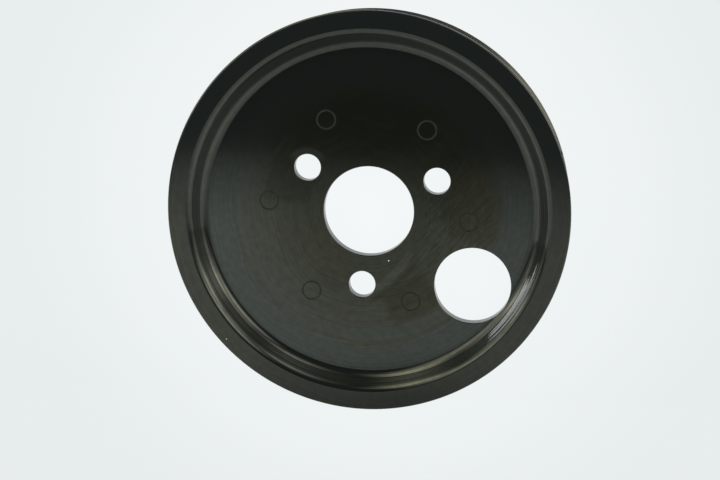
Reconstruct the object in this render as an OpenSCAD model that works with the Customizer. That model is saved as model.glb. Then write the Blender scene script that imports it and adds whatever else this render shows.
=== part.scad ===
// Power steering pump pulley: one plastic moulding with a ribbed belt rim and a flat, pierced web.
// It lies on the rear end of its rim, front face up. The origin is on the axis, at the rear end.

/* [Rim] */
// Diameter over the front flange
rim_d = 140; // [126:1:180]
// How far the front flange stands above the tips of the belt ribs
flange_step = 0.7; // [0.2:0.1:1.4]
// Width of the flat ring on the front, from the flange edge to the sloped wall
face_w = 6; // [5:0.1:8]
// Round on the outer edges of the rim
edge_round = 0.6; // [0.2:0.1:0.7]
// Thickness of the rim between the foot of the grooves and the rear cavity
rim_wall = 3.8; // [3:0.1:5]

/* [Belt grooves] */
// Number of grooves round the rim
groove_count = 5; // [4:1:8]
// Distance from one groove to the next
groove_pitch = 3.56; // [3.4:0.01:4]
// Angle between the two flanks of a groove
groove_angle = 40; // [38:1:44]
// Round in the foot of a groove
groove_round = 0.5; // [0.3:0.05:0.6]
// Round on the tip of a rib
rib_round = 0.25; // [0.15:0.05:0.35]
// Distance from the front face to the middle of the first groove
front_land = 3; // [2.9:0.1:5]
// Distance from the rear end to the middle of the last groove
rear_land = 2.5; // [2.5:0.1:5]

/* [Front recess] */
// Depth of the web below the front ring
recess_depth = 5.6; // [4.8:0.1:6.2]
// Width of the sloped wall between the front ring and the web, seen from the front
slope_w = 7.4; // [7.2:0.1:9]
// Round at the head of the sloped wall
head_round = 2.9; // [1:0.1:3.2]
// Round at the foot of the sloped wall
foot_round = 3.8; // [1:0.1:4]

/* [Web and rear cavity] */
// Thickness of the web
web_t = 4.4; // [3:0.1:6]
// Draft of the cavity wall, in degrees
rear_draft = 3; // [1:0.5:5]
// Round where the cavity wall meets the web
rear_round = 3; // [1:0.1:4]
// Round on the inner edge of the rear end
lip_round = 0.6; // [0.2:0.1:1]

/* [Holes] */
// Diameter of the centre bore
bore_d = 31.5; // [24:0.5:36]
// Diameter of the circle through the bolt holes
bolt_circle_d = 52.3; // [49:0.1:58]
// Number of bolt holes
bolt_count = 3; // [2:1:4]
// Diameter of a bolt hole
bolt_hole_d = 9.3; // [6.5:0.1:11]
// Diameter of the access hole
access_d = 26.7; // [16:0.1:27.5]
// How far the access hole cuts into the foot of the sloped wall
access_reach = 1.2; // [0.2:0.1:1.6]
// Edge break round every hole
hole_break = 0.3; // [0.1:0.05:0.5]

/* [Ejector marks] */
// Number of round pin marks on the web
mark_count = 6; // [3:3:6]
// Diameter of the fine ring that a pin leaves
mark_d = 6.4; // [4:0.1:7]
// Diameter of the circle through the pin marks
mark_circle_d = 70.2; // [69:0.1:73]
// Depth of the ring
mark_depth = 0.08; // [0.04:0.02:0.2]
// Round of the ring's section
mark_round = 0.35; // [0.3:0.05:0.6]

/* [Hidden] */
$fn = 180;

// Heights above the rear end
rim_w = front_land + (groove_count - 1) * groove_pitch + rear_land;
web_top = rim_w - recess_depth;
web_under = web_top - web_t;

// Radii of the rim
rim_r = rim_d / 2;
rib_r = rim_r - flange_step;
face_r = rim_r - face_w;
web_r = face_r - slope_w;

// Groove section: each flank is tangent to the round in the foot and to the round on the tip
flank = groove_angle / 2;
round_gap = (groove_pitch / 2 * cos(flank) - groove_round - rib_round) / sin(flank);
tip_r = rib_r - rib_round;
foot_r = tip_r - round_gap;
groove_r = foot_r - groove_round;

// Sloped wall: it is tangent to the round at its head and to the round at its foot
head = [face_r, rim_w - head_round];
foot = [web_r, web_top + foot_round];
span = head - foot;
slope = atan2(span.y, span.x) + asin((head_round + foot_round) / norm(span));
slope_out = [-sin(slope), cos(slope)];

// Cavity wall: it leans in by the draft, between the round on its lip and the round at its root
cavity_r = groove_r - rim_wall;
lip = [cavity_r + lip_round, lip_round];
lean = [cos(rear_draft), sin(rear_draft)];
lip_touch = lip - lip_round * lean;
root_z = web_under - rear_round;
root_in = (root_z - lip_touch.y) * tan(rear_draft) + rear_round / cos(rear_draft);
root = [lip_touch.x - root_in, root_z];
root_touch = root + rear_round * lean;

// The access hole lies on +X, and bolt holes and marks lie evenly to both sides of it
access_at = web_r + access_reach - access_d / 2;
cut = 1;

// Rim and web without rounds and grooves: one side of the section, from the axis outwards
module blank() {
    polygon([
        [0, web_under], [root.x, web_under], root_touch, lip_touch, [lip.x, 0],
        [rib_r - edge_round, 0], [rib_r, edge_round], [rib_r, rim_w - front_land],
        [rim_r, rim_w - front_land], [rim_r, rim_w - edge_round],
        [rim_r - edge_round, rim_w], [head.x, rim_w], head + head_round * slope_out,
        foot - foot_round * slope_out, [foot.x, web_top], [0, web_top]
    ]);
}

// Disc for a round of the section
module round_at(place, r) {
    translate(place) circle(r = r);
}

// One groove at height z, with the rib tips beside it; the flank on the upper side may reach higher
module groove(z, upper_step = 0) {
    upper_z = groove_pitch / 2 + upper_step * tan(flank);
    across = rib_round * sin(flank);
    along = rib_round * cos(flank);
    translate([0, z]) {
        difference() {
            polygon([
                [foot_r - groove_round * sin(flank), -groove_round * cos(flank)],
                [tip_r + across, -groove_pitch / 2 + along], [tip_r + across, -groove_pitch / 2],
                [rim_r + cut, -groove_pitch / 2], [rim_r + cut, upper_z],
                [tip_r + upper_step + across, upper_z],
                [tip_r + upper_step + across, upper_z - along],
                [foot_r - groove_round * sin(flank), groove_round * cos(flank)]
            ]);
            round_at([tip_r, -groove_pitch / 2], rib_round);
            round_at([tip_r + upper_step, upper_z], rib_round);
        }
        round_at([foot_r, 0], groove_round);
    }
}

// Full section of the moulding
module section() {
    difference() {
        union() {
            blank();
            round_at([rim_r - edge_round, rim_w - edge_round], edge_round);
            round_at([rib_r - edge_round, edge_round], edge_round);
            round_at(head, head_round);
            round_at(lip, lip_round);
        }
        round_at(foot, foot_round);
        round_at(root, rear_round);
        for (i = [0 : groove_count - 1])
            groove(rear_land + i * groove_pitch, i == groove_count - 1 ? flange_step : 0);
    }
}

// Hole through the web with its edges broken on both faces
module edged_hole(d) {
    r = d / 2;
    translate([0, 0, -cut]) cylinder(h = rim_w + 2 * cut, r = r);
    translate([0, 0, web_under - cut])
        cylinder(h = cut + hole_break, r1 = r + hole_break + cut, r2 = r);
    translate([0, 0, web_top - hole_break])
        cylinder(h = hole_break, r1 = r, r2 = r + hole_break);
}

module pulley() {
    color([0.08, 0.08, 0.075])
    difference() {
        rotate_extrude() section();
        edged_hole(bore_d);
        for (i = [0 : bolt_count - 1])
            rotate((i + 0.5) * 360 / bolt_count)
                translate([bolt_circle_d / 2, 0]) edged_hole(bolt_hole_d);
        translate([access_at, 0]) edged_hole(access_d);
        for (i = [0 : mark_count - 1])
            rotate((i + 0.5) * 360 / mark_count)
                translate([mark_circle_d / 2, 0, web_top + mark_round - mark_depth])
                    rotate_extrude() translate([mark_d / 2, 0]) circle(r = mark_round);
    }
}

pulley();
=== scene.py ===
import math
from functools import reduce
from types import SimpleNamespace

import bpy
from mathutils import Matrix, Vector


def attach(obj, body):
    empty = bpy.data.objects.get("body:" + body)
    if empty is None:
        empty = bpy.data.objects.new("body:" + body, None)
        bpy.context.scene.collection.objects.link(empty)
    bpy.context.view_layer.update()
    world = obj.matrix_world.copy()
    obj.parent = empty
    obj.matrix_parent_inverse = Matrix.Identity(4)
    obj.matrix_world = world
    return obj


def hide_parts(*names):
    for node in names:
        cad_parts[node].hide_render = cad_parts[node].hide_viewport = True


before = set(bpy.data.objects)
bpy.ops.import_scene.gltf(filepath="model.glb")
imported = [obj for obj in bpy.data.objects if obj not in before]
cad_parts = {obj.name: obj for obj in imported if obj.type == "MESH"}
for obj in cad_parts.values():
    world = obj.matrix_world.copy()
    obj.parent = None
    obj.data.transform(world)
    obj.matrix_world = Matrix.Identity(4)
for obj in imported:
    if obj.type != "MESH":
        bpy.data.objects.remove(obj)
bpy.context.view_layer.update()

MM = 0.001

# Sizes of the moulding, in metres and degrees. They repeat the part's source.
RIM_RADIUS = 70 * MM
FLANGE_STEP = 0.7 * MM
FACE_WIDTH = 6 * MM
EDGE_ROUND = 0.6 * MM
RIM_WALL = 3.8 * MM
GROOVES = 5
GROOVE_PITCH = 3.56 * MM
GROOVE_FLANK = 20
GROOVE_ROUND = 0.5 * MM
RIB_ROUND = 0.25 * MM
FRONT_LAND = 3 * MM
REAR_LAND = 2.5 * MM
RECESS_DEPTH = 5.6 * MM
SLOPE_WIDTH = 7.4 * MM
HEAD_ROUND = 2.9 * MM
FOOT_ROUND = 3.8 * MM
WEB_THICKNESS = 4.4 * MM
REAR_DRAFT = 3
REAR_ROUND = 3 * MM
LIP_ROUND = 0.6 * MM
BORE_RADIUS = 15.75 * MM
BOLT_HOLES = 3
BOLT_CIRCLE = 26.15 * MM
BOLT_HOLE_RADIUS = 4.65 * MM
ACCESS_RADIUS = 13.35 * MM
ACCESS_REACH = 1.2 * MM
HOLE_BREAK = 0.3 * MM
PIN_MARKS = 6
PIN_MARK_CIRCLE = 35.1 * MM
PIN_MARK_RADIUS = 3.2 * MM
PIN_MARK_DEPTH = 0.08 * MM
PIN_MARK_ROUND = 0.35 * MM

RIM_WIDTH = FRONT_LAND + (GROOVES - 1) * GROOVE_PITCH + REAR_LAND
WEB_TOP = RIM_WIDTH - RECESS_DEPTH
WEB_UNDER = WEB_TOP - WEB_THICKNESS
RIB_RADIUS = RIM_RADIUS - FLANGE_STEP
FACE_RADIUS = RIM_RADIUS - FACE_WIDTH
WEB_RADIUS = FACE_RADIUS - SLOPE_WIDTH
ACCESS_AT = WEB_RADIUS + ACCESS_REACH - ACCESS_RADIUS

# Groove section: each flank is tangent to the round in the foot and to the round on the tip
GROOVE_LEAN = math.radians(GROOVE_FLANK)
ROUND_GAP = (GROOVE_PITCH / 2 * math.cos(GROOVE_LEAN) - GROOVE_ROUND - RIB_ROUND) / math.sin(GROOVE_LEAN)
TIP_RADIUS = RIB_RADIUS - RIB_ROUND

# How finely the turned shapes are stepped, and how far the core pins reach past the moulding
ROUND_STEPS = 360
ACCESS_STEPS = 180
BOLT_STEPS = 96
PIN_STEPS = 72
CUT = 2 * MM

# The nub of moulding flash on the flange: its angle round the axis and its half sizes
NUB_ANGLE = 53.7
NUB_HALF_SIZES = (0.35 * MM, 0.7 * MM, 0.4 * MM)

# Zones of the finish by distance from the axis: the range over which each comes in or goes out
INNER_WEB_END = (36 * MM, 49 * MM)
PIN_RINGS_END = (45 * MM, 46 * MM)
WEB_END = (55.8 * MM, 56.8 * MM)
SLOPE_START = (57 * MM, 58 * MM)
SLOPE_END = (63 * MM, 63.8 * MM)
TURNED_START = (59.6 * MM, 59.8 * MM)
TURNED_END = (61.5 * MM, 61.7 * MM)
FRONT_RING_START = (63.2 * MM, 64.5 * MM)

# Colours of the plastic and of what is on it
WEB_BLACK = (0.006, 0.0074, 0.0082)
INNER_WEB_BLACK = (0.0042, 0.0052, 0.0048)
HAZE_BLACK = (0.0052, 0.0052, 0.0038)
FRONT_RING_BLACK = (0.0076, 0.0099, 0.0116)
TURNED_BLACK = (0.0095, 0.0108, 0.0108)
# Painted reflection: a lighter grey that stands for light mirrored on one side of a bolt hole
PAINTED_HALO_GREY = (0.0145, 0.015, 0.0155)
FILM_BROWN = (0.0075, 0.0066, 0.0038)
PIN_RING_GREY = (0.0135, 0.0145, 0.0135)

# Tints of the gloss
WEB_TINT = (0.94, 1, 0.99)
INNER_WEB_TINT = (1, 0.99, 0.9)
FILM_TINT = (1, 0.97, 0.83)
SLOPE_TINT = (1, 0.985, 0.92)
FRONT_RING_TINT = (1, 0.95, 0.83)

# Specks: x and y in millimetres, height in metres, size in millimetres, and colour
SPECKS = (
    (15.8, -10.2, WEB_TOP, 0.3, (0.5, 0.5, 0.48)),
    (-14.4, -66.2, RIM_WIDTH, 0.28, (0.3, 0.31, 0.3)),
    (-34.5, 46.8, WEB_TOP + 0.6 * MM, 0.5, (0.002, 0.002, 0.002)),
)

# Centre of the two arcs that a round thing left on the web
ARC_CENTRE = (-13.2 * MM, -7.8 * MM, 0)

# Turned lines on the sloped wall: where they start and how far apart they are
LINE_START = 59.15 * MM
LINE_PITCH = 0.77 * MM

# How far the turned lines, the fine and coarse unevenness and the turned band itself tip the wall
LINE_TIP = 0.05
FINE_TIP = 0.05
COARSE_TIP = 0.08
BAND_TIP = 0.09

# Changes a metre of the patterns that run across the radius
FINE_DENSITY = 8000
COARSE_DENSITY = 2600
SCORE_DENSITY = 1400
STREAK_DENSITY = 420

# Heights of the waviness and of the grain
WAVE_HEIGHT = 6e-6
GRAIN_HEIGHT = 0.5e-6

# Roughness of the plastic: clean, with haze, what turning adds, what is left on the slope, and on pin rings
CLEAN_ROUGHNESS = 0.085
HAZE_ROUGHNESS = 0.13
TURNED_ROUGHNESS = 0.08
SLOPE_ROUGHNESS_SHARE = 0.7
PIN_RING_ROUGHNESS = 0.35

# Strength of the gloss in the web's middle, at its edge, and beyond it
MIDDLE_GLOSS = 0.44
WEB_GLOSS = 0.64
RIM_GLOSS = 0.5

# The range in which most values of a noise lie
NOISE_RANGE = (0.3, 0.7)

# A soft-edged sector is full up to the first share of its half angle, and gone at the second
SECTOR_FULL = 0.6
SECTOR_GONE = 1.25

# The camera of the photograph, in the pulley's own frame
CAMERA_AT = Vector((-0.00685, 0.13512, 0.62487))
CAMERA_RIGHT = Vector((0.81265, 0.56987, -0.12187)).normalized()
CAMERA_BACK = Vector((-0.01635, 0.23135, 0.97273)).normalized()
CAMERA_LENS = 90
SENSOR_WIDTH = 36

# Up and right as the photograph has them, in the plane of the pulley's face
PHOTO_UP = Vector((-0.57415, 0.81875, 0))
PHOTO_RIGHT = Vector((0.81875, 0.57415, 0))

# The low white panel that the gloss mirrors: its size, its drop below the axis, and the glow of its back
PANEL_REACH = 0.8
PANEL_WIDTH = 2.2
PANEL_DROP = 70.5 * MM
PANEL_BACK_GLOW = 0.5

WARM_WHITE = (1.02, 1.04, 0.88)
PANEL_WHITE = (1.02, 1.1, 0.98)
ROOM_GREY = (0.045, 0.045, 0.03)
BACKDROP_WHITE = (0.85, 0.875, 0.88)
# Painted pool of light: the paper is coloured lighter in its middle
PAPER_PAINTED_LIGHT = (0.915, 0.95, 0.957)
PAPER_EDGE = (0.8, 0.835, 0.845)
PAPER_HALF = 1.5

# Soft boxes of the room: azimuth, elevation, half width, half height, lean, glow and colour
SOFT_BOXES = (
    (-36, 35, 17, 57, 12, 2, (1.1, 1.1, 0.78)),  # upper left
    (-40, 48, 31, 22, -39, 2.4, (1.06, 1.1, 0.84)),  # overhead, to the left
    (-38, 6, 24, 20, -35, 2.6, WARM_WHITE),  # left
    (-75, 18, 50, 32, -8, 2.3, WARM_WHITE),  # left wall
    (-76, 15, 21, 7.6, -16, 3, WARM_WHITE),  # far left
    (25, 8, 30, 19, 51, 3.6, WARM_WHITE),  # right
    (53, 4, 50, 17, 0, 1.85, WARM_WHITE),  # right wall
    (66, 14.5, 25, 12, 16, 3.6, WARM_WHITE),  # far right
    (57, 24, 21, 28, -44, 2.1, WARM_WHITE),  # upper right
    (38, 49, 18, 27, -66, 1.8, WARM_WHITE),  # high on the right
    (28, 53, 43, 23, 73, 0.65, WARM_WHITE),  # overhead, to the right
    (60, -36, 75, 42, 33, 0.75, PANEL_WHITE),  # low, beyond the panel on the right
    (-99, -37, 75, 39, -63, 0.7, PANEL_WHITE),  # low, beyond the panel on the left
)


def axes_of(right, back):
    """Turn of an object whose +X runs to the right and whose +Z runs backwards."""
    up = back.cross(right).normalized()
    side = up.cross(back).normalized()
    return Matrix((side, up, back)).transposed()


def make_camera():
    data = bpy.data.cameras.new("camera")
    data.lens = CAMERA_LENS
    data.sensor_width = SENSOR_WIDTH
    data.clip_start = 0.01
    data.clip_end = 20
    camera = bpy.data.objects.new("camera", data)
    camera.matrix_world = Matrix.Translation(CAMERA_AT) @ axes_of(CAMERA_RIGHT, CAMERA_BACK).to_4x4()
    bpy.context.scene.collection.objects.link(camera)
    bpy.context.scene.camera = camera


def on_circle(centre, radius, angle):
    turn = math.radians(angle)
    return (centre[0] + radius * math.cos(turn), centre[1] + radius * math.sin(turn))


def arc(centre, radius, start, end, steps):
    """Points on an arc of the section, with both its ends. Angles run from +X towards the front."""
    return [on_circle(centre, radius, start + (end - start) * i / steps) for i in range(steps + 1)]


def groove_points(height, last):
    """Foot round and upper rib tip of one groove. The flange stands higher than the ribs."""
    step = FLANGE_STEP if last else 0
    upper = (TIP_RADIUS + step, height + GROOVE_PITCH / 2 + step * math.tan(GROOVE_LEAN))
    open_angle = 90 - GROOVE_FLANK
    foot = arc((TIP_RADIUS - ROUND_GAP, height), GROOVE_ROUND, 180 + open_angle, 180 - open_angle, 8)
    return foot + arc(upper, RIB_ROUND, -open_angle, 0 if last else open_angle, 4 if last else 8)


def moulding_section():
    """Outline of the section as (radius, height), from the rear of the bore outwards and back in front."""
    groove_radius = TIP_RADIUS - ROUND_GAP - GROOVE_ROUND
    draft = math.radians(REAR_DRAFT)
    lip = (groove_radius - RIM_WALL + LIP_ROUND, LIP_ROUND)
    lip_touch = on_circle(lip, LIP_ROUND, 180 + REAR_DRAFT)
    root_height = WEB_UNDER - REAR_ROUND
    root_in = (root_height - lip_touch[1]) * math.tan(draft) + REAR_ROUND / math.cos(draft)
    root = (lip_touch[0] - root_in, root_height)
    head = (FACE_RADIUS, RIM_WIDTH - HEAD_ROUND)
    foot = (WEB_RADIUS, WEB_TOP + FOOT_ROUND)
    span = math.hypot(head[0] - foot[0], head[1] - foot[1])
    rise = math.atan2(head[1] - foot[1], head[0] - foot[0])
    slope = math.degrees(rise + math.asin((HEAD_ROUND + FOOT_ROUND) / span))
    points = arc((BORE_RADIUS + HOLE_BREAK, WEB_UNDER + HOLE_BREAK), HOLE_BREAK, 180, 270, 5)
    points += arc(root, REAR_ROUND, 90, REAR_DRAFT, 10)
    points += arc(lip, LIP_ROUND, 180 + REAR_DRAFT, 270, 6)
    points += arc((RIB_RADIUS - EDGE_ROUND, EDGE_ROUND), EDGE_ROUND, 270, 360, 6)
    points += arc((TIP_RADIUS, REAR_LAND - GROOVE_PITCH / 2), RIB_ROUND, 0, 90 - GROOVE_FLANK, 4)
    for i in range(GROOVES):
        points += groove_points(REAR_LAND + i * GROOVE_PITCH, i == GROOVES - 1)
    points += arc((RIM_RADIUS - EDGE_ROUND, RIM_WIDTH - EDGE_ROUND), EDGE_ROUND, 0, 90, 6)
    points += arc(head, HEAD_ROUND, 90, 90 + slope, 12)
    points += arc(foot, FOOT_ROUND, 270 + slope, 270, 14)
    points += arc((BORE_RADIUS + HOLE_BREAK, WEB_TOP - HOLE_BREAK), HOLE_BREAK, 90, 180, 5)
    return points


def hole_section(radius):
    """Outline of the core pin of a hole, with the rounds that it leaves on both faces of the web."""
    steep = 82
    lower = (radius + HOLE_BREAK, WEB_UNDER + HOLE_BREAK)
    upper = (radius + HOLE_BREAK, WEB_TOP - HOLE_BREAK)
    rear = arc(lower, HOLE_BREAK, 180 + steep, 180, 5)
    front = arc(upper, HOLE_BREAK, 180, 180 - steep, 5)
    below = [(0, -CUT), (rear[0][0], -CUT)]
    above = [(front[-1][0], RIM_WIDTH + CUT), (0, RIM_WIDTH + CUT)]
    return below + rear + front + above


def pin_section():
    """Outline of the sharp ring round the end of an ejector pin, which leaves a fine groove in the web."""
    middle = (PIN_MARK_RADIUS, WEB_TOP + PIN_MARK_ROUND - PIN_MARK_DEPTH)
    sides = 48
    return arc(middle, PIN_MARK_ROUND, 0, 360 - 360 / sides, sides - 1)


def outline_object(name, points, closed):
    """The section as loose edges, drawn flat for the lathe: x is the radius and y is the height downwards."""
    mesh = bpy.data.meshes.new(name)
    count = len(points)
    edges = [(i, (i + 1) % count) for i in range(count if closed else count - 1)]
    mesh.from_pydata([(r, -z, 0) for r, z in reversed(points)], edges, [])
    outline = bpy.data.objects.new(name, mesh)
    bpy.context.scene.collection.objects.link(outline)
    return outline


def node(tree, kind, inputs=None, **settings):
    """A new node with its settings made and its inputs filled or linked."""
    made = tree.nodes.new(kind)
    for key, value in settings.items():
        setattr(made, key, value)
    for key, value in (inputs or {}).items():
        if isinstance(value, bpy.types.NodeSocket):
            tree.links.new(value, made.inputs[key])
        else:
            made.inputs[key].default_value = value
    return made


def lathe_group():
    """Turns an outline round the axis and closes the ends that lie on it."""
    tree = bpy.data.node_groups.new("lathe", "GeometryNodeTree")
    tree.interface.new_socket("Outline", in_out="INPUT", socket_type="NodeSocketGeometry")
    tree.interface.new_socket("Steps round", in_out="INPUT", socket_type="NodeSocketInt")
    tree.interface.new_socket("Solid", in_out="OUTPUT", socket_type="NodeSocketGeometry")
    given = node(tree, "NodeGroupInput").outputs
    path_radius = 0.05
    weld = 1e-6
    to_path = {"Geometry": given["Outline"], "Translation": (-path_radius, 0, 0)}
    shift = node(tree, "GeometryNodeTransform", to_path).outputs[0]
    outline = node(tree, "GeometryNodeMeshToCurve", {"Mesh": shift}).outputs[0]
    circle = {"Resolution": given["Steps round"], "Radius": path_radius}
    path = node(tree, "GeometryNodeCurvePrimitiveCircle", circle).outputs["Curve"]
    turned = node(tree, "GeometryNodeCurveToMesh", {"Curve": path, "Profile Curve": outline}).outputs[0]
    closed = node(tree, "GeometryNodeMergeByDistance", {"Geometry": turned, "Distance": weld})
    node(tree, "NodeGroupOutput", {"Solid": closed.outputs[0]})
    return tree


def pulley_tree(lathe):
    """The pulley's maker: it turns the moulding, sets core and ejector pins round it, and cuts them out."""
    tree = bpy.data.node_groups.new("pulley maker", "GeometryNodeTree")
    tree.interface.new_socket("Section", in_out="INPUT", socket_type="NodeSocketGeometry")
    for name, kind in (
        ("Steps round", "NodeSocketInt"), ("Bolt pin", "NodeSocketObject"), ("Bolt holes", "NodeSocketInt"),
        ("Bolt circle radius", "NodeSocketFloat"), ("Access pin", "NodeSocketObject"),
        ("Access distance", "NodeSocketFloat"), ("Ejector pin", "NodeSocketObject"),
        ("Pin marks", "NodeSocketInt"), ("Pin circle radius", "NodeSocketFloat"),
        ("Plastic", "NodeSocketMaterial"),
    ):
        tree.interface.new_socket(name, in_out="INPUT", socket_type=kind)
    tree.interface.new_socket("Pulley", in_out="OUTPUT", socket_type="NodeSocketGeometry")
    given = node(tree, "NodeGroupInput").outputs

    def turned(outline, steps):
        return node(tree, "GeometryNodeGroup", {0: outline, 1: steps}, node_tree=lathe).outputs[0]

    def pin(name, steps):
        drawn = node(tree, "GeometryNodeObjectInfo", {"Object": given[name]}).outputs["Geometry"]
        return turned(drawn, steps)

    def ring_of(solid, count, radius):
        half_step = node(tree, "ShaderNodeMath", {0: math.pi, 1: count}, operation="DIVIDE").outputs[0]
        ring = node(tree, "GeometryNodeMeshCircle", {"Vertices": count, "Radius": radius}).outputs[0]
        turn = node(tree, "ShaderNodeCombineXYZ", {"Z": half_step}).outputs[0]
        placed = node(tree, "GeometryNodeTransform", {"Geometry": ring, "Rotation": turn}).outputs[0]
        return node(tree, "GeometryNodeInstanceOnPoints", {"Points": placed, "Instance": solid}).outputs[0]

    body = turned(given["Section"], given["Steps round"])
    bolt_pins = ring_of(pin("Bolt pin", BOLT_STEPS), given["Bolt holes"], given["Bolt circle radius"])
    marks = ring_of(pin("Ejector pin", PIN_STEPS), given["Pin marks"], given["Pin circle radius"])
    away = node(tree, "ShaderNodeCombineXYZ", {"X": given["Access distance"]}).outputs[0]
    aside = {"Geometry": pin("Access pin", ACCESS_STEPS), "Translation": away}
    access = node(tree, "GeometryNodeTransform", aside).outputs[0]
    pins = node(tree, "GeometryNodeJoinGeometry")
    for part in (bolt_pins, marks, access):
        tree.links.new(part, pins.inputs[0])
    pins = node(tree, "GeometryNodeRealizeInstances", {"Geometry": pins.outputs[0]}).outputs[0]
    cut = node(tree, "GeometryNodeMeshBoolean", {"Mesh 1": body, "Mesh 2": pins}, solver="MANIFOLD")
    smooth = node(tree, "GeometryNodeSetShadeSmooth", {"Geometry": cut.outputs[0]})
    angle = node(tree, "GeometryNodeInputMeshEdgeAngle").outputs["Unsigned Angle"]
    sharp_from = math.radians(32)
    sharp = node(tree, "FunctionNodeCompare", {"A": angle, "B": sharp_from}, operation="GREATER_THAN")
    creased = node(
        tree, "GeometryNodeSetShadeSmooth",
        {"Geometry": smooth.outputs[0], "Selection": sharp.outputs[0], "Shade Smooth": False}, domain="EDGE",
    )
    whole = node(tree, "GeometryNodeRealizeInstances", {"Geometry": creased.outputs[0]}).outputs[0]
    dressed = node(tree, "GeometryNodeSetMaterial", {"Geometry": whole, "Material": given["Plastic"]})
    node(tree, "NodeGroupOutput", {"Pulley": dressed.outputs[0]})
    return tree


def make_pulley(plastic):
    lathe = lathe_group()
    maker = pulley_tree(lathe)
    outline = outline_object("pulley_outline", moulding_section(), True)
    pins = {
        "Bolt pin": outline_object("bolt_pin", hole_section(BOLT_HOLE_RADIUS), False),
        "Access pin": outline_object("access_pin", hole_section(ACCESS_RADIUS), False),
        "Ejector pin": outline_object("ejector_pin", pin_section(), True),
    }
    given = {
        "Steps round": ROUND_STEPS, "Bolt holes": BOLT_HOLES, "Bolt circle radius": BOLT_CIRCLE,
        "Access distance": ACCESS_AT, "Pin marks": PIN_MARKS, "Pin circle radius": PIN_MARK_CIRCLE,
        "Plastic": plastic, **pins,
    }
    modifier = outline.modifiers.new("maker", "NODES")
    modifier.node_group = maker
    for socket in maker.interface.items_tree:
        if socket.name in given:
            modifier[socket.identifier] = given[socket.name]
    shading = outline.modifiers.new("flat faces stay flat", "WEIGHTED_NORMAL")
    shading.keep_sharp = True
    graph = bpy.context.evaluated_depsgraph_get()
    mesh = bpy.data.meshes.new_from_object(outline.evaluated_get(graph), depsgraph=graph)
    mesh.name = "pulley_moulding"
    for drawn in (outline, *pins.values()):
        bpy.data.objects.remove(drawn)
    moulding = bpy.data.objects.new("pulley_moulding", mesh)
    bpy.context.scene.collection.objects.link(moulding)
    return moulding


def maths(tree, operation, first, second=0.0, third=0.0):
    return node(tree, "ShaderNodeMath", {0: first, 1: second, 2: third}, operation=operation).outputs[0]


def product(tree, *factors):
    return reduce(lambda first, second: maths(tree, "MULTIPLY", first, second), factors)


def strongest(tree, *shares):
    return reduce(lambda first, second: maths(tree, "MAXIMUM", first, second), shares)


def vectors(tree, operation, first, second=(0, 0, 0)):
    """Vector that a sum such as ADD or NORMALIZE gives."""
    return node(tree, "ShaderNodeVectorMath", {0: first, 1: second}, operation=operation).outputs["Vector"]


def scaled(tree, vector, factor):
    made = node(tree, "ShaderNodeVectorMath", {0: vector, "Scale": factor}, operation="SCALE")
    return made.outputs["Vector"]


def measure(tree, operation, first, second=(0, 0, 0)):
    """Number that a sum on vectors gives, such as LENGTH, DISTANCE or DOT_PRODUCT."""
    return node(tree, "ShaderNodeVectorMath", {0: first, 1: second}, operation=operation).outputs["Value"]


def between(tree, value, low, high, from_value=0.0, to_value=1.0, kind="SMOOTHSTEP"):
    """Smooth change from one value to the other while the given value runs from low to high."""
    ramp = node(
        tree, "ShaderNodeMapRange",
        {"Value": value, "From Min": low, "From Max": high, "To Min": from_value, "To Max": to_value},
        interpolation_type=kind,
    )
    return ramp.outputs["Result"]


def band(tree, value, start, end):
    """Share that comes in over the first range of the value and goes out over the second."""
    return product(tree, between(tree, value, *start), between(tree, value, *end, 1, 0))


def weigh(tree, share, bare, full):
    """The first number where the share is 0, and the second where it is 1."""
    return between(tree, share, 0, 1, bare, full)


def noise(tree, place, scale, detail=2.0, roughness=0.5, distortion=0.0):
    made = node(
        tree, "ShaderNodeTexNoise",
        {"Vector": place, "Scale": scale, "Detail": detail, "Roughness": roughness, "Distortion": distortion},
    )
    return made.outputs["Fac"]


def line_noise(tree, distance, density, detail):
    """Noise that changes only with the distance, with so many changes a metre."""
    steps = maths(tree, "MULTIPLY", distance, density)
    given = {"W": steps, "Scale": 1.0, "Detail": detail}
    return node(tree, "ShaderNodeTexNoise", given, noise_dimensions="1D").outputs["Fac"]


def blend_colours(tree, share, first, second):
    mixed = node(tree, "ShaderNodeMix", {"Factor": share}, data_type="RGBA")
    for key, value in ((6, first), (7, second)):
        if isinstance(value, bpy.types.NodeSocket):
            tree.links.new(value, mixed.inputs[key])
        else:
            mixed.inputs[key].default_value = (*value, 1)
    return mixed.outputs[2]


def sector(tree, radius, out, angle, half_angle, inner, outer, soft):
    """Share of a soft-edged piece of a ring. Angles are in degrees, radii and softness in millimetres."""
    middle = (math.cos(math.radians(angle)), math.sin(math.radians(angle)), 0)
    aim = measure(tree, "DOT_PRODUCT", out, middle)
    gone, full = (math.cos(math.radians(half_angle * k)) for k in (SECTOR_GONE, SECTOR_FULL))
    start = ((inner - soft) * MM, (inner + soft) * MM)
    end = ((outer - soft) * MM, (outer + soft) * MM)
    return product(tree, between(tree, aim, gone, full), band(tree, radius, start, end))


def seen_from(tree, flat, centre):
    """Distance and direction from a centre in the plane of the web."""
    aside = vectors(tree, "SUBTRACT", flat, centre)
    return measure(tree, "LENGTH", aside), vectors(tree, "NORMALIZE", aside)


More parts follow.
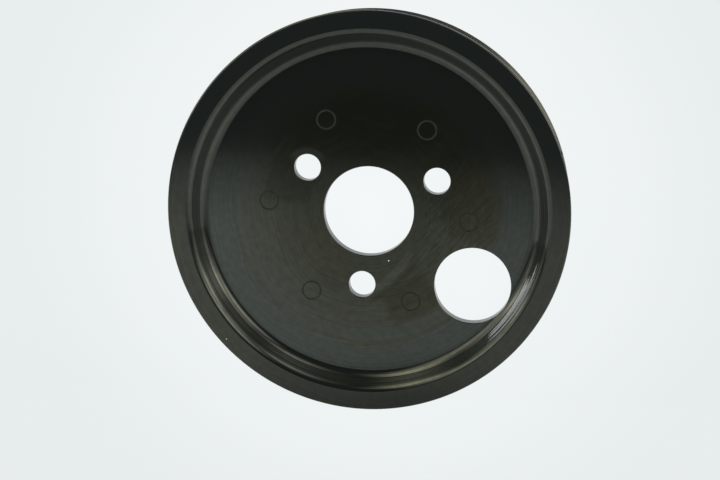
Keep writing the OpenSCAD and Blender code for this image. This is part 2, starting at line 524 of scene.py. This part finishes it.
def pin_rings(tree, spot):
    """Share of the thin rings of the pin marks, found in one of six equal sectors round the axis."""
    parts = node(tree, "ShaderNodeSeparateXYZ", {0: spot.place}).outputs
    turn = maths(tree, "ARCTAN2", parts[1], parts[0])
    step = 2 * math.pi / PIN_MARKS
    turn = maths(tree, "SUBTRACT", maths(tree, "FLOORED_MODULO", turn, step), step / 2)
    along = product(tree, spot.radius, maths(tree, "COSINE", turn))
    ahead = maths(tree, "SUBTRACT", along, PIN_MARK_CIRCLE)
    beside = product(tree, spot.radius, maths(tree, "SINE", turn))
    from_pin = node(tree, "ShaderNodeCombineXYZ", {"X": ahead, "Y": beside}).outputs[0]
    off_ring = maths(tree, "SUBTRACT", measure(tree, "LENGTH", from_pin), PIN_MARK_RADIUS)
    rings = between(tree, maths(tree, "ABSOLUTE", off_ring), 0.1 * MM, 0.5 * MM, 1, 0)
    return product(tree, rings, between(tree, spot.radius, *PIN_RINGS_END, 1, 0))


def places(tree):
    """Place on the pulley, the same without its height, and its distance and direction from the axis."""
    place = node(tree, "ShaderNodeTexCoord").outputs["Object"]
    flat = vectors(tree, "MULTIPLY", place, (1, 1, 0))
    radius = measure(tree, "LENGTH", flat)
    return SimpleNamespace(place=place, flat=flat, radius=radius, out=vectors(tree, "NORMALIZE", flat))


def finish_zones(tree, radius):
    """Shares of the zones that differ in finish, from the web's middle out to the front ring."""
    return SimpleNamespace(
        inner_web=between(tree, radius, *INNER_WEB_END, 1, 0),
        slope=band(tree, radius, SLOPE_START, SLOPE_END),
        turned=band(tree, radius, TURNED_START, TURNED_END),
        front_ring=between(tree, radius, *FRONT_RING_START),
    )


def round_streaks(tree, spot):
    """Streaks that run round the axis, fine across the radius and long round it, and their own radius."""
    drift = noise(tree, spot.place, scale=45)
    wandering = maths(tree, "MULTIPLY_ADD", drift, 6 * MM, spot.radius)
    across = maths(tree, "MULTIPLY", wandering, STREAK_DENSITY)
    lift = node(tree, "ShaderNodeCombineXYZ", {"Z": across}).outputs[0]
    streak_place = vectors(tree, "ADD", scaled(tree, spot.out, 3.5), lift)
    return noise(tree, streak_place, scale=1, detail=4, roughness=0.6, distortion=0.3), wandering


def wiped_haze(tree, spot, streaks, inner_web):
    """Share of the thin haze that wiping left on the web, mostly near its middle."""
    clouds = noise(tree, spot.place, scale=28, detail=3, roughness=0.55, distortion=0.4)
    haze = product(tree, between(tree, streaks, 0.35, 0.68), between(tree, clouds, *NOISE_RANGE, 0.45, 1))
    return product(tree, haze, weigh(tree, inner_web, 0.12, 1))


def handling_marks(tree, spot, streaks):
    """Shares of brown film, dull patches, the polished crescent, and a painted reflection beside a bolt hole
    on the web.
    """
    def mark(*sizes):
        return sector(tree, spot.radius, spot.out, *sizes)

    # Each has its angle, half angle, inner radius, outer radius and softness, as a sector does
    film_right = mark(39, 20, 28, 46, 3)
    film_low = mark(331, 15, 28, 41, 2.5)
    film_left = mark(263, 27, 17, 27, 2)
    dull_right = mark(52, 24, 24, 47, 4)
    smear = mark(195, 15, 21, 37, 3)
    stain = strongest(tree, mark(297, 80, 46.1, 47.5, 0.5), mark(306, 17, 47.6, 48.7, 0.5))

    from_arc = seen_from(tree, spot.flat, ARC_CENTRE)
    crescent = sector(tree, *from_arc, -8, 16, 32.3, 35, 0.5)
    dull_arc = sector(tree, *from_arc, -12, 18, 36, 37.8, 0.7)

    from_bolt = seen_from(tree, spot.flat, (-BOLT_CIRCLE, 0, 0))
    # A lighter halo on the upper side of the bolt hole, which is painted reflection
    painted_halo = sector(tree, *from_bolt, 125, 62, 4, 7, 0.7)
    washer_edge = sector(tree, *from_bolt, 190, 50, 7.6, 8.8, 0.5)

    brown = strongest(tree, film_right, film_low, film_left, dull_arc, product(tree, stain, 0.8))
    brown = product(tree, brown, between(tree, streaks, 0.25, 0.7, 0.5, 1))
    dull = strongest(tree, dull_right, smear, film_low, dull_arc, film_right)
    dull = strongest(tree, dull, product(tree, washer_edge, 0.7), product(tree, stain, 0.4))
    return SimpleNamespace(brown=brown, dull=dull, crescent=crescent, painted_halo=painted_halo)


def plastic_colour(tree, spot, zones, haze, marks, rings):
    colour = blend_colours(tree, zones.inner_web, WEB_BLACK, INNER_WEB_BLACK)
    # The lighter grey beside the bolt hole is painted reflection
    for share, shade in (
        (haze, HAZE_BLACK), (zones.front_ring, FRONT_RING_BLACK), (zones.turned, TURNED_BLACK),
        (product(tree, marks.painted_halo, 0.8), PAINTED_HALO_GREY), (product(tree, marks.brown, 0.7), FILM_BROWN),
        (rings, PIN_RING_GREY),
    ):
        colour = blend_colours(tree, share, colour, shade)
    for x, y, height, size, shade in SPECKS:
        off = measure(tree, "DISTANCE", spot.place, (x * MM, y * MM, height))
        colour = blend_colours(tree, between(tree, off, 0.6 * size * MM, size * MM, 1, 0), colour, shade)
    return colour


def plastic_roughness(tree, zones, haze, rings):
    rough = weigh(tree, haze, CLEAN_ROUGHNESS, HAZE_ROUGHNESS)
    rough = maths(tree, "ADD", rough, product(tree, zones.turned, TURNED_ROUGHNESS))
    rough = weigh(tree, zones.slope, rough, product(tree, rough, SLOPE_ROUGHNESS_SHARE))
    return weigh(tree, rings, rough, PIN_RING_ROUGHNESS)


def gloss_tint(tree, zones, brown):
    tint = blend_colours(tree, zones.inner_web, WEB_TINT, INNER_WEB_TINT)
    for share, shade in ((brown, FILM_TINT), (zones.slope, SLOPE_TINT), (zones.front_ring, FRONT_RING_TINT)):
        tint = blend_colours(tree, share, tint, shade)
    return tint


def wiping_streaks(tree, spot):
    """Factor on the gloss to the right of the bore, where wiping streaks run up to the right in the photo."""
    along = 1 / 130
    across = 1 / 1300
    turned = node(
        tree, "ShaderNodeMapping",
        {"Vector": spot.flat, "Rotation": (0, 0, math.radians(83)), "Scale": (along, across, 1)},
        vector_type="TEXTURE",
    ).outputs[0]
    wipes = noise(tree, turned, scale=1, detail=3, roughness=0.6, distortion=0.3)
    wiped = sector(tree, spot.radius, spot.out, 27, 42, 20, 44, 4)
    return weigh(tree, wiped, 1, between(tree, wipes, 0.35, 0.65, 0.8, 1.16))


def plastic_gloss(tree, spot, zones, haze, marks, rings, wandering):
    """Strength of the gloss: it grows outwards over the web, and each kind of mark or wear changes it."""
    web_gloss = between(tree, spot.radius, 18 * MM, 44 * MM, MIDDLE_GLOSS, WEB_GLOSS)
    gloss = between(tree, spot.radius, *WEB_END, web_gloss, RIM_GLOSS)
    for share, factor in (
        (haze, 0.85), (zones.turned, 0.75), (marks.dull, 0.74), (marks.crescent, 1.35), (rings, 0.25),
    ):
        gloss = product(tree, gloss, weigh(tree, share, 1, factor))
    scores = line_noise(tree, wandering, SCORE_DENSITY, detail=2)
    mottle = noise(tree, spot.place, scale=420, detail=3)
    for pattern in (scores, mottle):
        gloss = product(tree, gloss, between(tree, pattern, *NOISE_RANGE, 0.91, 1.07))
    return product(tree, gloss, wiping_streaks(tree, spot))


def turned_surface(tree, spot, zones):
    """Turned lines, which tip the sloped wall in and out, and a slight waviness and grain all over."""
    fine = line_noise(tree, spot.radius, FINE_DENSITY, detail=1)
    coarse = line_noise(tree, spot.radius, COARSE_DENSITY, detail=1)
    fine_tip = product(tree, between(tree, fine, *NOISE_RANGE, -FINE_TIP, FINE_TIP), zones.turned)
    coarse_tip = product(tree, between(tree, coarse, *NOISE_RANGE, -COARSE_TIP, COARSE_TIP), zones.slope)
    tip = maths(tree, "ADD", fine_tip, coarse_tip)
    past_start = maths(tree, "SUBTRACT", spot.radius, LINE_START)
    lines = maths(tree, "SINE", maths(tree, "MULTIPLY", past_start, 2 * math.pi / LINE_PITCH))
    tip = maths(tree, "MULTIPLY_ADD", lines, product(tree, zones.slope, LINE_TIP), tip)
    tip = maths(tree, "SUBTRACT", tip, product(tree, zones.turned, BAND_TIP))
    facing = node(tree, "ShaderNodeNewGeometry").outputs["Normal"]
    tipped = vectors(tree, "NORMALIZE", vectors(tree, "ADD", facing, scaled(tree, spot.out, tip)))
    waves = maths(tree, "MULTIPLY", noise(tree, spot.place, scale=90), WAVE_HEIGHT)
    grain = maths(tree, "MULTIPLY", noise(tree, spot.place, scale=2500), GRAIN_HEIGHT)
    relief = {"Height": maths(tree, "ADD", waves, grain), "Normal": tipped, "Strength": 1.0, "Distance": 1.0}
    return node(tree, "ShaderNodeBump", relief).outputs[0]


def black_plastic():
    """Glossy black moulding compound with a wiped haze on the web and turned lines on the sloped wall."""
    material = bpy.data.materials.new("black_plastic")
    material.use_nodes = True
    tree = material.node_tree
    shader = tree.nodes["Principled BSDF"]
    spot = places(tree)
    zones = finish_zones(tree, spot.radius)
    streaks, wandering = round_streaks(tree, spot)
    haze = wiped_haze(tree, spot, streaks, zones.inner_web)
    marks = handling_marks(tree, spot, streaks)
    rings = pin_rings(tree, spot)
    for name, value in (
        ("Base Color", plastic_colour(tree, spot, zones, haze, marks, rings)),
        ("Roughness", plastic_roughness(tree, zones, haze, rings)),
        ("Specular Tint", gloss_tint(tree, zones, marks.brown)),
        ("Specular IOR Level", plastic_gloss(tree, spot, zones, haze, marks, rings, wandering)),
        ("Normal", turned_surface(tree, spot, zones)),
    ):
        tree.links.new(value, shader.inputs[name])
    return material


def make_nub(plastic):
    """The small nub of moulding flash that stands out from the flange's edge, a drawn-out ball."""
    steps = 10
    count = 2 * steps
    rows = []
    for i in range(1, steps):
        polar = math.pi * i / steps
        for k in range(count):
            turn = math.pi * k / steps
            spot = (math.sin(polar) * math.cos(turn), math.sin(polar) * math.sin(turn), math.cos(polar))
            rows.append(Vector(half * share for half, share in zip(NUB_HALF_SIZES, spot)))
    top = len(rows)
    bottom = top + 1
    rows += [Vector((0, 0, NUB_HALF_SIZES[2])), Vector((0, 0, -NUB_HALF_SIZES[2]))]
    faces = [
        (i * count + k, (i + 1) * count + k, (i + 1) * count + (k + 1) % count, i * count + (k + 1) % count)
        for i in range(steps - 2) for k in range(count)
    ]
    faces += [(top, k, (k + 1) % count) for k in range(count)]
    last = (steps - 2) * count
    faces += [(bottom, last + (k + 1) % count, last + k) for k in range(count)]
    on_edge = Matrix.Translation((RIM_RADIUS, 0, RIM_WIDTH - EDGE_ROUND))
    at = Matrix.Rotation(math.radians(NUB_ANGLE), 4, "Z") @ on_edge
    mesh = bpy.data.meshes.new("flash_nub")
    mesh.from_pydata([at @ spot for spot in rows], [], faces)
    mesh.shade_smooth()
    mesh.materials.append(plastic)
    nub = bpy.data.objects.new("flash_nub", mesh)
    bpy.context.scene.collection.objects.link(nub)
    return nub


def pale_paper():
    """Matt pale paper with a painted pool of light that makes it a little brighter in the middle. It keeps
    shadows, and glows where it is seen.
    """
    material = bpy.data.materials.new("pale_paper")
    material.use_nodes = True
    tree = material.node_tree
    shader = tree.nodes["Principled BSDF"]
    place = node(tree, "ShaderNodeTexCoord").outputs["Object"]
    away = measure(tree, "LENGTH", place)
    # Painted pool of light: the colour grows lighter towards the middle
    colour = blend_colours(tree, between(tree, away, 30 * MM, 140 * MM), PAPER_PAINTED_LIGHT, PAPER_EDGE)
    tree.links.new(colour, shader.inputs["Base Color"])
    shader.inputs["Roughness"].default_value = 0.9
    shader.inputs["Specular IOR Level"].default_value = 0
    rays = node(tree, "ShaderNodeLightPath").outputs
    seen = strongest(tree, rays["Is Camera Ray"], rays["Is Glossy Ray"], rays["Is Transmission Ray"])

    # At a grazing angle the paper under the pulley glows brighter still, a painted sheen, which lights the
    # walls of the holes
    grazing = node(tree, "ShaderNodeLayerWeight", {"Blend": 0.5}).outputs["Facing"]
    painted_sheen = between(tree, grazing, 0.45, 0.75, 0, 6.2)
    under_pulley = between(tree, away, 58 * MM, 64 * MM, 1, 0)
    strength = maths(tree, "ADD", product(tree, painted_sheen, under_pulley), 1)
    light = node(tree, "ShaderNodeEmission", {"Color": colour, "Strength": strength}).outputs[0]
    glow = maths(tree, "MULTIPLY", seen, 0.95)
    mixed = node(tree, "ShaderNodeMixShader", {0: glow, 1: shader.outputs[0], 2: light}).outputs[0]
    tree.links.new(mixed, tree.nodes["Material Output"].inputs["Surface"])
    return material


def make_floor():
    mesh = bpy.data.meshes.new("floor")
    corners = [(-PAPER_HALF, -PAPER_HALF, 0), (PAPER_HALF, -PAPER_HALF, 0)]
    corners += [(PAPER_HALF, PAPER_HALF, 0), (-PAPER_HALF, PAPER_HALF, 0)]
    mesh.from_pydata(corners, [], [(0, 1, 2, 3)])
    floor = bpy.data.objects.new("floor", mesh)
    mesh.materials.append(pale_paper())
    bpy.context.scene.collection.objects.link(floor)


def towards(azimuth, elevation):
    """Direction as seen from the pulley: azimuth 0 and elevation 0 point at the camera."""
    up = CAMERA_BACK.cross(CAMERA_RIGHT)
    a = math.radians(azimuth)
    e = math.radians(elevation)
    level = CAMERA_RIGHT * math.sin(a) * math.cos(e)
    return level + up * math.sin(e) + CAMERA_BACK * math.cos(a) * math.cos(e)


def soft_box(tree, seen, azimuth, elevation, half_width, half_height, lean, glow, colour):
    """Adds a far soft box, bright in the middle and faint at its edge, to what is seen in each direction."""
    direction = node(tree, "ShaderNodeTexCoord").outputs["Generated"]
    facing = towards(azimuth, elevation)
    level = towards(azimuth + 90, 0)
    upright = facing.cross(level)
    a = math.radians(lean)
    across = (level * math.cos(a) + upright * math.sin(a)) / math.sin(math.radians(half_width))
    along = (upright * math.cos(a) - level * math.sin(a)) / math.sin(math.radians(half_height))
    x, y, ahead = (measure(tree, "DOT_PRODUCT", direction, axis) for axis in (across, along, facing))
    place = node(tree, "ShaderNodeCombineXYZ", {"X": x, "Y": y}).outputs[0]
    off_centre = measure(tree, "LENGTH", place)
    lit = product(tree, between(tree, off_centre, 0.1, 1, 1, 0), maths(tree, "GREATER_THAN", ahead))
    shade = tuple(glow * channel for channel in colour)
    return vectors(tree, "ADD", seen, scaled(tree, shade, lit))


def make_surroundings():
    """A dim room with soft boxes. To the camera it shows pale all round."""
    world = bpy.data.worlds.new("room")
    world.use_nodes = True
    tree = world.node_tree
    seen = node(tree, "ShaderNodeCombineXYZ", dict(zip("XYZ", ROOM_GREY))).outputs[0]
    for box in SOFT_BOXES:
        seen = soft_box(tree, seen, *box)
    around = node(tree, "ShaderNodeBackground", {"Color": seen, "Strength": 1.0}).outputs[0]
    shown = node(tree, "ShaderNodeBackground", {"Color": (*BACKDROP_WHITE, 1), "Strength": 1.0}).outputs[0]
    camera_ray = node(tree, "ShaderNodeLightPath").outputs["Is Camera Ray"]
    mixed = node(tree, "ShaderNodeMixShader", {0: camera_ray, 1: around, 2: shown}).outputs[0]
    tree.links.new(mixed, tree.nodes["World Output"].inputs["Surface"])
    bpy.context.scene.world = world


def panel_lamp(name, facing):
    """One side of the low panel, with a glow of 1, which is white in a mirror."""
    data = bpy.data.lights.new(name, "AREA")
    data.shape = "RECTANGLE"
    data.size = PANEL_WIDTH
    data.size_y = PANEL_REACH
    data.energy = math.pi * PANEL_WIDTH * PANEL_REACH
    data.color = PANEL_WHITE
    lamp = bpy.data.objects.new(name, data)
    middle = Vector((0, 0, PANEL_REACH / 2)) - PHOTO_UP * PANEL_DROP
    lamp.matrix_world = Matrix.Translation(middle) @ axes_of(PHOTO_RIGHT, -facing).to_4x4()
    lamp.visible_camera = False
    bpy.context.scene.collection.objects.link(lamp)
    return data


def make_low_panel():
    """The low white panel that the pulley's gloss mirrors, dim close to the pulley and far away."""
    top = panel_lamp("low_panel_top", PHOTO_UP)
    top.use_nodes = True
    tree = top.node_tree
    place = node(tree, "ShaderNodeNewGeometry").outputs["Position"]
    away = measure(tree, "DOT_PRODUCT", place, (0, 0, 1))
    side = measure(tree, "DOT_PRODUCT", place, PHOTO_RIGHT)

    # The pulley's shadow, a little longer on the right
    reach = maths(tree, "ADD", away, between(tree, side, -0.01, 0.01, 0.009, 0))
    glow = between(tree, reach, 0, 0.115, 0.27, 0.87)

    # The far end, which runs at a slant, and the dimmer right side
    far = maths(tree, "ADD", away, between(tree, side, -0.3, 0.168, -0.051, 0.051, "LINEAR"))
    glow = product(tree, glow, between(tree, far, 0.33, 0.61, 1, 0.1, "LINEAR"))
    glow = product(tree, glow, between(tree, far, 0.55, 0.6, 1, 0))
    glow = product(tree, glow, between(tree, side, -0.15, 0.08, 1.15, 0.85))
    tree.links.new(glow, tree.nodes["Emission"].inputs["Strength"])
    back = panel_lamp("low_panel_back", -PHOTO_UP)
    back.energy *= PANEL_BACK_GLOW


make_camera()
bpy.context.scene.view_settings.view_transform = "Standard"
make_floor()
make_surroundings()
make_low_panel()

plastic = black_plastic()
pulley = make_pulley(plastic)
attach(pulley, "root")
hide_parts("pulley")
nub = make_nub(plastic)
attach(nub, "root")
